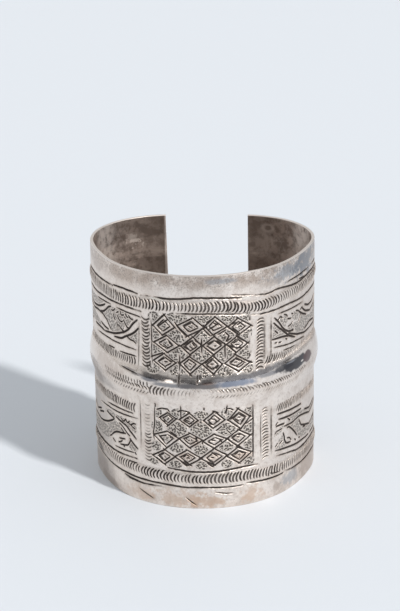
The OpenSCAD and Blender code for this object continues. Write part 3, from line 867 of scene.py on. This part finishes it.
colour = tint(between(cloud(260, 4), 0.42, 0.72, 0.42), SILVER, BROWN_TARNISH)
colour = tint(between(cloud(1300, 4, 0.75), 0.48, 0.66, 0.4), colour, BROWN_TARNISH)
# Patchy tarnish towards the upper rim, and the sheet browner in patches towards the foot
rim_and_foot_browning = calc("MAXIMUM", between(high_up, UPPER_RIM_FOOT, 65.5, 0.9),
                   between(high_up, 6.5, 1.0, 0.3))
colour = tint(times(rim_and_foot_browning, between(cloud(260, 6, 0.7), 0.3, 0.6)), colour, BROWN_TARNISH)
colour = tint(between(along, 24.0, 44.0, 0.4), colour, BROWN_TARNISH)
colour = tint(between(along, -26.0, -44.0, 0.25), colour, BROWN_TARNISH)
colour = tint(between(along, -8.0, -22.0, 0.3), colour, WARM_SILVER)
colour = patched_over(colour, (
    # Glints above the upper rope
    (0.8, (-11, 60, 2.8, 0.35, 0.2), GLINT), (0.6, (13, 59.9, 2, 0.3, 0.2), GLINT),
    # The upper rim
    (0.65, (29, 64, 8, 2.6, 1.4), BLUE_TARNISH), (0.6, (6, 65.3, 5, 1), BLUE_TARNISH),
    (0.2, (1, 64.8, 7, 1.6), BROWN_TARNISH), (0.5, (-20, 65, 12, 2), BROWN_TARNISH),
    (0.5, (-38, 63.5, 7, 2.6), BROWN_TARNISH), (0.45, (22, 62.5, 4, 1.2), BROWN_TARNISH),
    (0.85, (39, 64, 9, 4, 1.6), (0.21, 0.223, 0.25, 1)),
    # The foot
    (0.5, (29.5, 3.3, 5, 2, 0.9), BLUE_TARNISH), (0.5, (-6, 2.9, 8, 2.3, 1.8), ORANGE_STAIN),
    (0.6, (2, 2.2, 5.5, 1.9, 1.6), ORANGE_STAIN), (0.55, (14.5, 3.3, 3.4, 2.2, 1.8), ORANGE_STAIN),
    (0.4, (-17, 2.6, 6, 2, 1), ORANGE_STAIN), (0.6, (23, 2.5, 1.6, 1.8, 0.8), BROWN_TARNISH),
    # The left side and the upper panel
    (0.8, (-40, 8.5, 3.5, 1.3), TARNISH), (0.6, (-33, 1.2, 9, 1.4), BROWN_TARNISH),
    (0.5, (-40, 4, 8, 3.5), BROWN_TARNISH), (0.3, (-1, 47.5, 15, 8, 0.9), BROWN_TARNISH),
    (0.7, (-40, 31, 8, 3, 0.8), BROWN_TARNISH), (0.45, (-30, 36.5, 8, 3, 0.9), BROWN_TARNISH),
    (0.6, (-37, 27.5, 4, 1), BROWN_TARNISH),
    # The dark streak along the ridge, in grey, blue and brown tones: a painted reflection of the
    # room's unlit side, laid over the real reflection
    (0.85, (-6.5, 36.2, 6.5, 0.6, 0.3, 0.6, 3), (0.24, 0.24, 0.255, 1)),
    (0.85, (-13.3, 37.1, 3, 0.7, 0.3, 0.6), (0.2, 0.2, 0.22, 1)),
    (0.9, (0.3, 36.35, 6.8, 0.9, 0.3, 0.6, 3), (0.16, 0.148, 0.148, 1)),
    (0.75, (1.8, 38.75, 10, 0.6, 0.3, 0.6, 3), (0.28, 0.26, 0.25, 1)),
    (0.7, (2.5, 37.1, 2.2, 0.5, 0.4), (0.36, 0.25, 0.21, 1)),
    (0.9, (10, 36.6, 6, 1, 0.35, 0.6, 3), (0.22, 0.25, 0.32, 1)),
    (0.85, (19.3, 37.2, 5, 0.7, 0.4), (0.31, 0.3, 0.31, 1)),
    (0.75, (-20.3, 38.4, 2.8, 0.5, 0.3), (0.27, 0.24, 0.23, 1)),
    (0.75, (-17, 37.65, 2.6, 0.5, 0.3), (0.27, 0.25, 0.25, 1)),
    (0.9, (25.8, 37.5, 4.2, 0.9, 0.35, 0.7, 2.5), (0.1, 0.098, 0.105, 1)),
    (0.97, (31, 36.9, 6.6, 1.6, 0.3, 0.8, 2.5), (0.062, 0.06, 0.066, 1)),
    (0.95, (37.8, 36.5, 2.9, 1.6, 0.3, 0.8), (0.11, 0.065, 0.062, 1)),
    # Painted highlights in the dark patch: a pale fleck, and a pale line near its top
    (0.8, (34.2, 36.5, 0.9, 0.3, 0.4), SILVER),
    (0.6, (29, 38, 2.6, 0.25, 0.6), (0.4, 0.4, 0.42, 1)),
    # The lower right and the lower panel
    (0.7, (41, 4, 8, 6, 0.8), BROWN_TARNISH), (0.3, (-1, 19.8, 2, 1.6), ORANGE_STAIN),
    (0.3, (3.5, 15.4, 2.4, 1.4), ORANGE_STAIN), (0.3, (-3.6, 15.4, 2.4, 1.3), ORANGE_STAIN),
    (0.4, (12, 14.8, 3, 1.5), ORANGE_STAIN), (0.35, (0, 25, 2, 1.6), ORANGE_STAIN),
))
colour = tint(times(beside, 0.1), colour, BROWN_TARNISH)
specks = between(cloud(2300, 3, 0.7), 0.5, 0.62)
colour = tint(times(specks, between(high_up, UPPER_RIM_FOOT, 65.0, 0.75)), colour, SPECK)
matted = times(grounded, minus(0.92, between(round_side, 15.5, 20.0, 0.26)))
colour = tint(matted, colour, tint(pricks, GROUND_DARK, GROUND_LIGHT))
worn_rim = calc("MAXIMUM", between(high_up, 66.72, 66.86), between(round_side, 81.15, 81.3))
colour = tint(times(dark, 0.96), colour, TARNISH)
inside_colour = tint(between(cloud(380, 6, 0.7), 0.4, 0.6), INSIDE, INSIDE_DARK)
rubbed = times(between(distance_from(RUBBED_PLACE, round_side), 6.5, 2.5, 0.85),
               between(cloud(500, 5, 0.7), 0.35, 0.55))
inside_colour = tint(rubbed, inside_colour, RUBBED_SILVER)
inside_colour = tint(between(round_side, 64.0, 79.0, 0.55), inside_colour, INSIDE_DARK)
inside_colour = patched_over(inside_colour, (
    (0.8, (-72, 60.5, 2.3, 1.7, 2.4), RUBBED_SILVER),
    (0.85, (74.3, 63.6, 2.5, 1.9, 0.5), PALE_RING), (0.9, (74.5, 63.7, 1.2, 0.9, 0.5), INSIDE_DARK),
))
colour = tint(worn_rim, tint(outer_face, inside_colour, colour), SILVER)
brushed = made(coat, "ShaderNodeTexNoise", {
    "Vector": made(coat, "ShaderNodeVectorMath", {0: on_sheet, 1: (0.12, 2.4, 1.0)},
                   operation="MULTIPLY"),
    "Scale": 1.0, "Detail": 3.0})
burnished = times(outer_face, between(distance_from(BURNISHED_LINE, high_up), 3.0, 1.4))
dullness = plus(0.25, times(cloud(700, 3), 0.14))
dullness = plus(dullness, times(calc("MAXIMUM", beside, grounded), 0.14))
dullness = plus(dullness, times(dark, 0.3))
dullness = minus(dullness, times(burnished, 0.23))
dullness = plus(dullness, times(minus(1.0, outer_face), 0.16))
grain = made(coat, "ShaderNodeBump", {
    "Strength": minus(0.2, times(burnished, 0.16)), "Distance": 0.0001,
    "Height": plus(cloud(1600, 4), brushed)})
for strength, height in ((0.8, minus(1.0, dark)), (0.7, times(pricks, grounded))):
    grain = made(coat, "ShaderNodeBump", {
        "Strength": strength, "Distance": 0.00012, "Height": height, "Normal": grain})
shader = made(coat, "ShaderNodeBsdfPrincipled", {
    "Base Color": colour, "Metallic": 1.0, "Roughness": dullness, "Normal": grain})
coat.links.new(shader, coat.nodes.new("ShaderNodeOutputMaterial").inputs[0])

bands = (
    ("lower_rim_and_rope", 0.0, 10.8),
    ("lower_panels", 10.8, 29.7),
    ("raised_ridge", 29.7, 39.9),
    ("upper_panels", 39.9, 56.75),
    ("upper_rim_and_rope", 56.75, CUFF_HEIGHT),
)
for band_name, low, high in bands:
    band_mesh = worked(band_name, flat_band(band_name, low, high), sheet_tree, {
        **sheet_sizes, **guides, "Metal": silver})
    band_mesh.name = band_name
    band = put_in_scene(band_name, band_mesh)
    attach(band, "root")
    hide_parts("cuff")
for left_over in guides.values():
    bpy.data.objects.remove(left_over)


# The table: one plain sheet of pale card under the cuff. It reaches so far to the back and to the
# sides that no edge of it shows in the picture.
FLOOR_REACH, FLOOR_FRONT = 6.0, 2.0
floor_mesh = bpy.data.meshes.new("floor")
floor_mesh.from_pydata([(-FLOOR_REACH, -FLOOR_FRONT, 0), (FLOOR_REACH, -FLOOR_FRONT, 0),
                        (FLOOR_REACH, FLOOR_REACH, 0), (-FLOOR_REACH, FLOOR_REACH, 0)],
                       [], [(0, 1, 2, 3)])
floor = put_in_scene("floor", floor_mesh)
card = bpy.data.materials.new("pale_card")
card.use_nodes = True
card_look = card.node_tree.nodes["Principled BSDF"].inputs
card_look["Base Color"].default_value = (0.72, 0.755, 0.80, 1)
card_look["Roughness"].default_value = 0.6
floor_mesh.materials.append(card)

# The studio: pale all round but for its unlit side, low in front of the table and round to the
# right, with a small pale card standing in it, and one lamp high at the front right.
world = bpy.data.worlds.new("studio")
world.use_nodes = True
room = world.node_tree
looking = add(room, "ShaderNodeTexCoord").outputs["Generated"]
towards = add(room, "ShaderNodeSeparateXYZ", {0: looking}).outputs


def in_sector(turn, reach, softness):
    """One inside a round sector about a level direction, in degrees to the right of the front."""
    turn = math.radians(turn)
    nearness = add(room, "ShaderNodeVectorMath", {
        0: looking, 1: (math.sin(turn), -math.cos(turn), 0.0)}, operation="DOT_PRODUCT")
    return between(nearness.outputs["Value"], math.cos(math.radians(reach + softness)),
                   math.cos(math.radians(reach)))


low_down = between(towards["Z"], 0.26, 0.14)
unlit = tint(in_sector(-26, 36, 8), (0.27, 0.29, 0.33, 1), (0.12, 0.125, 0.135, 1))
unlit = tint(in_sector(127, 28, 8), unlit, (0.07, 0.07, 0.075, 1))
unlit = tint(in_sector(-34, 3, 3), unlit, (2.2, 2.2, 2.2, 1))
room_colour = tint(times(in_sector(47, 108, 8), low_down), (0.605, 0.62, 0.635, 1), unlit)
room.links.new(room_colour, room.nodes["Background"].inputs["Color"])
bpy.context.scene.world = world

lamp = bpy.data.lights.new("main_light", "SUN")
lamp.energy, lamp.angle, lamp.color = 2.6, math.radians(4.5), (1.0, 0.985, 0.965)
stand = put_in_scene("main_light", lamp)
stand.rotation_euler = Vector((-0.569, 0.512, -0.643)).to_track_quat("-Z", "Y").to_euler()
bpy.context.scene.view_settings.view_transform = "Standard"
